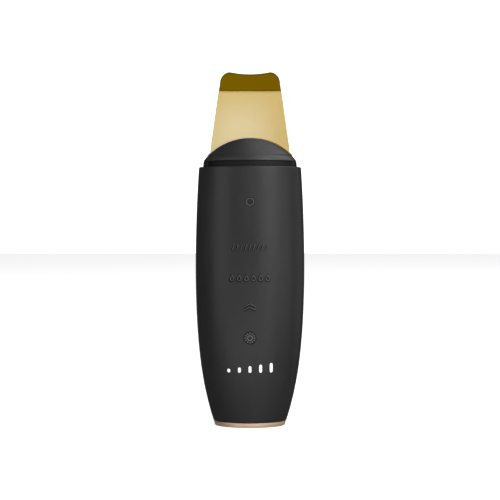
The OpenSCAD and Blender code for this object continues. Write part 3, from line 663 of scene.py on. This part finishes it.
# Painted shade: the tip's deep gold stands for the dark reflection of its forward-leaning face.
shaded_tip_gold = cloud.step(0.3, 0.7).blend((0.275, 0.157, 0.0005, 1), (0.3, 0.172, 0.001, 1))
feed(shader, "Base Color", on_tip.blend(highlighted_gold, shaded_tip_gold))
feed(shader, "Roughness", 0.16 + brushing * 0.09 + cloud * 0.04)
feed(shader, "Normal", brushing.node("ShaderNodeBump", Height=brushing, Distance=0.004 * mm,
                                     Strength=0.35))
sheet = make_piece("blade_sheet", blade_patches(), "case", ["blade"], crease=40)
# The nose beside it shows no reflection of the sheet.
sheet.visible_glossy = False
coat(sheet, blade_gold)


# ---- Blade trim ----
# A thin gold-plated arch lies between the halves of the nose and shows as a fine bright edge
# round them. The blade stands in its slot, and both its ends close round the blade.

slot_half_t = sheet_t / 2 + 0.15 * mm
trim_r = trim_high.z - arch_z
trim_band = 2.9 * mm


def arch_band(y_in, y_out, x_from=0.0):
    """A closed outline of radius and y, carried along the arch from one level end to the
    other. With x_from, only the stretch of the right-hand end outside that x is made."""
    soft = 0.09 * mm
    radius = np.array([trim_r - trim_band, trim_r - soft, trim_r, trim_r, trim_r - soft,
                       trim_r - trim_band])
    outward = np.sign(y_out)
    y = np.array([y_out, y_out, y_out - outward * soft, y_in + outward * 0.3 * soft, y_in, y_in])
    low = np.arcsin((trim_low.z - arch_z) / radius)
    high = np.arccos(x_from / radius) if x_from else math.pi - low
    share = np.linspace(0, 1, 9 if x_from else 97)[:, None]
    angle = low[None] + share * (high - low)[None]
    points = np.stack(np.broadcast_arrays(radius * np.cos(angle), y[None],
                                          arch_z + radius * np.sin(angle)), -1)
    loop = np.concatenate([points, points[:, :1]], 1)
    lids = [patch(np.stack([row[[0, 1, 2]], row[[5, 4, 3]]])) for row in (points[0], points[-1])]
    return [patch(loop)] + lids


def mirrored(patches):
    """The same patches on the other side of the centre."""
    return [(points * (-1, 1, 1), faces) for points, faces in patches]


trim_gold, shader, place = new_material("trim_gold", Metallic=1.0)
polish = place.noise(4000.0, 2.0, (1.0, 1.0, 0.2))
# The plating is pale at the left end as a painted highlight, and deeper at the right as painted
# shade.
side = place.node("ShaderNodeSeparateXYZ", None, 0, Vector=place) + (polish - 0.5) * (4 * mm)
feed(shader, "Base Color", side.step(-9 * mm, 14 * mm).blend((0.95, 0.85, 0.6, 1),
                                                             (0.5, 0.3, 0.06, 1)))
feed(shader, "Roughness", 0.18 + polish * 0.08)
bands = arch_band(-slot_half_t, -trim_half_t) + arch_band(slot_half_t, trim_half_t)
cheek = arch_band(-slot_half_t, slot_half_t, root_half + 0.15 * mm)
bands += cheek + mirrored(cheek)
coat(make_piece("trim_arch", bands, "case", ["blade_trim"], crease=30, fit=1e-7),
     trim_gold)


# ---- Base ring ----
# A turned ring in satin rose gold is clamped between the body and the base plate. Its foot is
# rounded, and the scrubber stands on it.

ring_low, ring_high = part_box("base_ring")
ring_flat = ring_high.y / ring_high.x


def ring_patches():
    """A closed outline of half width and height, turned round the oval."""
    top, foot, curl, soft = ring_high.x, ring_high.x - 0.45 * mm, 0.35 * mm, 0.1 * mm
    bore, step, step_z, top_z = 12.6 * mm, 13.8 * mm, 1.1 * mm, ring_high.z
    arc = np.radians(np.linspace(0, 90, 9))
    x = np.concatenate([[bore + soft, bore, bore, bore + soft],
                        top - np.array([0.18, 0.05, 0]) * mm,
                        foot - curl + curl * np.cos(arc), [step + soft, step, step]])
    z = np.concatenate([[step_z, step_z + soft, top_z - soft, top_z],
                        top_z - np.array([0, 0.04, 0.18]) * mm,
                        curl - curl * np.sin(arc), [0, soft, step_z]])
    turns = np.linspace(0, 2 * math.pi, 192, endpoint=False)[None]
    points = np.stack(np.broadcast_arrays(x[:, None] * np.cos(turns),
                                          x[:, None] * ring_flat * np.sin(turns), z[:, None]), -1)
    return [patch(np.concatenate([points, points[:1]]), around=True)]


rose_gold, shader, place = new_material("rose_gold", Metallic=0.75)
turning = place.noise(5200.0, 2.0, (0.05, 0.05, 1.0))
tone = place.noise(120.0, 2.0)
feed(shader, "Base Color", tone.step(0.3, 0.7).blend((0.565, 0.405, 0.27, 1),
                                                     (0.62, 0.445, 0.3, 1)))
feed(shader, "Roughness", 0.34 + turning * 0.06)
feed(shader, "Normal", turning.node("ShaderNodeBump", Height=turning, Distance=0.001 * mm,
                                    Strength=0.3))
coat(make_piece("foot_ring", ring_patches(), "case", ["base_ring"], crease=40),
     rose_gold)


# ---- Pieces that keep their frame shape ----
# Base plate, seals, sleeves, switches, boards, battery, chassis and the transducer's stack are
# plain machined, moulded or stamped pieces. Each gets the finish of its own stuff.


def metal(name, colour, roughness, stretch=(1.0, 1.0, 0.06)):
    """Machined or plated metal with fine tool lines, drawn out along the axis of least
    stretch."""
    material, shader, place = new_material(name, Metallic=1.0)
    lines = place.noise(1 / (0.12 * mm), 2.0, stretch)
    tone = place.noise(260.0, 2.0)
    dark = tuple(0.9 * c for c in colour) + (1.0,)
    feed(shader, "Base Color", tone.step(0.3, 0.7).blend(dark, tuple(colour) + (1.0,)))
    feed(shader, "Roughness", roughness - 0.05 + lines * 0.14)
    feed(shader, "Normal", lines.node("ShaderNodeBump", Height=lines, Distance=0.004 * mm,
                                      Strength=0.4))
    return material


finishes = {
    "base_black": moulded("base_black", (0.011, 0.011, 0.0115), 0.5, depth=0.012 * mm),
    "silicone_black": moulded("silicone_black", (0.014, 0.014, 0.015), 0.62, grain=0.3 * mm),
    "silicone_clear": moulded("silicone_clear", (0.4, 0.4, 0.39), 0.45, grain=0.3 * mm),
    "chassis_white": moulded("chassis_white", (0.7, 0.7, 0.67), 0.5),
    "guide_clear": moulded("guide_clear", (0.75, 0.8, 0.83), 0.25),
    "board_green": moulded("board_green", (0.012, 0.13, 0.06), 0.32, grain=0.6 * mm),
    "ribbon_amber": moulded("ribbon_amber", (0.62, 0.34, 0.07), 0.28, grain=0.5 * mm),
    "chip_black": moulded("chip_black", (0.02, 0.02, 0.02), 0.55),
    "led_white": moulded("led_white", (0.85, 0.82, 0.6), 0.2),
    "foam_grey": moulded("foam_grey", (0.07, 0.07, 0.07), 0.9, grain=0.5 * mm, depth=0.1 * mm),
    "ceramic": moulded("ceramic", (0.75, 0.71, 0.55), 0.55, grain=0.08 * mm),
    "wire_red": moulded("wire_red", (0.42, 0.03, 0.025), 0.35),
    "cell_blue": moulded("cell_blue", (0.05, 0.13, 0.34), 0.3, grain=1.2 * mm),
    "ferrite": moulded("ferrite", (0.03, 0.03, 0.032), 0.6, grain=0.1 * mm, depth=0.02 * mm),
    "steel": metal("steel", (0.56, 0.56, 0.58), 0.3),
    "nickel": metal("nickel", (0.66, 0.65, 0.63), 0.22),
    "alloy": metal("alloy", (0.72, 0.73, 0.75), 0.28, stretch=(0.06, 0.06, 1.0)),
    "brass_foil": metal("brass_foil", (0.76, 0.55, 0.24), 0.25),
}
slot_of = {s["node"]: s["material_slot"] for s in frame["record"]["subparts"]}
for name, node in frame["nodes"].items():
    if slot_of[name] in finishes:
        coat(node, finishes[slot_of[name]])


# ---- Studio ----
# A pale floor and a white backdrop, a soft card in front, and a soft box to each side of it
# that draws the two long highlights down the body. Boxes above light the nose, and cards below
# the lower body and the tip.

view_width, stand_off, eye_z = 226 * mm, 448 * mm, 89 * mm
camera = bpy.data.objects.new("camera", bpy.data.cameras.new("camera"))
camera.location = (0, -stand_off, eye_z)
camera.rotation_euler = (math.pi / 2, 0, 0)
camera.data.angle = 2 * math.atan(view_width / 2 / stand_off)
camera.data.shift_y = -0.045
camera.data.clip_start = 0.01
bpy.context.scene.collection.objects.link(camera)
bpy.context.scene.camera = camera


def soft_box(name, azimuth, climb, distance, width, tall, brightness, aim=80 * mm):
    """An area light, so many degrees to the right of the camera and above the level, aimed at
    a height on the object's axis. brightness is what a mirror would show of it."""
    light = bpy.data.lights.new(name, "AREA")
    light.shape, light.size, light.size_y = "RECTANGLE", width, tall
    light.energy = brightness * width * tall * math.pi
    place = bpy.data.objects.new(name, light)
    turn, climb = math.radians(azimuth), math.radians(climb)
    level = distance * math.cos(climb)
    place.location = (level * math.sin(turn), -level * math.cos(turn),
                      aim + distance * math.sin(climb))
    place.rotation_euler = (math.pi / 2 - climb, 0, turn)
    bpy.context.scene.collection.objects.link(place)


soft_box("front_card", -4, 14, 1.6, 0.6, 0.8, 0.78)
soft_box("right_box", 24, 20, 1.6, 0.5, 1.3, 3.6)
soft_box("right_fill", 50, 8, 1.6, 0.9, 1.3, 1.0)
soft_box("side_fill", 95, 8, 1.6, 1.2, 1.3, 0.5)
soft_box("left_box", -40, 12, 1.6, 0.7, 1.3, 1.36)
soft_box("nose_box", 60, 48, 1.4, 1.8, 0.8, 1.5)
soft_box("top_box", 90, 68, 1.4, 1.6, 1.2, 1.25)
soft_box("floor_card", 0, -12, 1.0, 1.2, 0.2, 2.1, 20 * mm)
soft_box("foot_card", 0, -52, 2.0, 1.2, 0.5, 0.72, 155 * mm)


def stage_sheet(name, corners, glow):
    """A flat sheet of the set, given by its corners, that is clear from behind."""
    mesh = bpy.data.meshes.new(name)
    mesh.from_pydata(corners, [], [(0, 1, 2, 3)])
    sheet = bpy.data.objects.new(name, mesh)
    bpy.context.scene.collection.objects.link(sheet)
    material, shader, place = new_material(name, Roughness=0.8, Emission_Strength=glow,
                                           Emission_Color=(1, 1, 1, 1))
    mottle = place.noise(30.0, 2.0)
    feed(shader, "Base Color", mottle.blend((0.833, 0.833, 0.833, 1), (0.85, 0.85, 0.85, 1)))
    behind = place.node("ShaderNodeNewGeometry", None, "Backfacing")
    feed(shader, "Alpha", 1 - behind)
    coat(sheet, material)
    sheet.visible_glossy = False
    sheet.visible_shadow = False
    return sheet


stage_sheet("floor", [(-4, -4, 0), (4, -4, 0), (4, 3, 0), (-4, 3, 0)], 0.8)
backdrop = stage_sheet("backdrop", [(-4, 3, -1), (4, 3, -1), (4, 3, 4), (-4, 3, 4)], 1.0)
backdrop.visible_diffuse = False

world = bpy.data.worlds.new("world")
world.use_nodes = True
world.node_tree.nodes["Background"].inputs["Color"].default_value = (1, 1, 1, 1)
world.node_tree.nodes["Background"].inputs["Strength"].default_value = 0.08
bpy.context.scene.world = world
bpy.context.scene.view_settings.view_transform = "Standard"
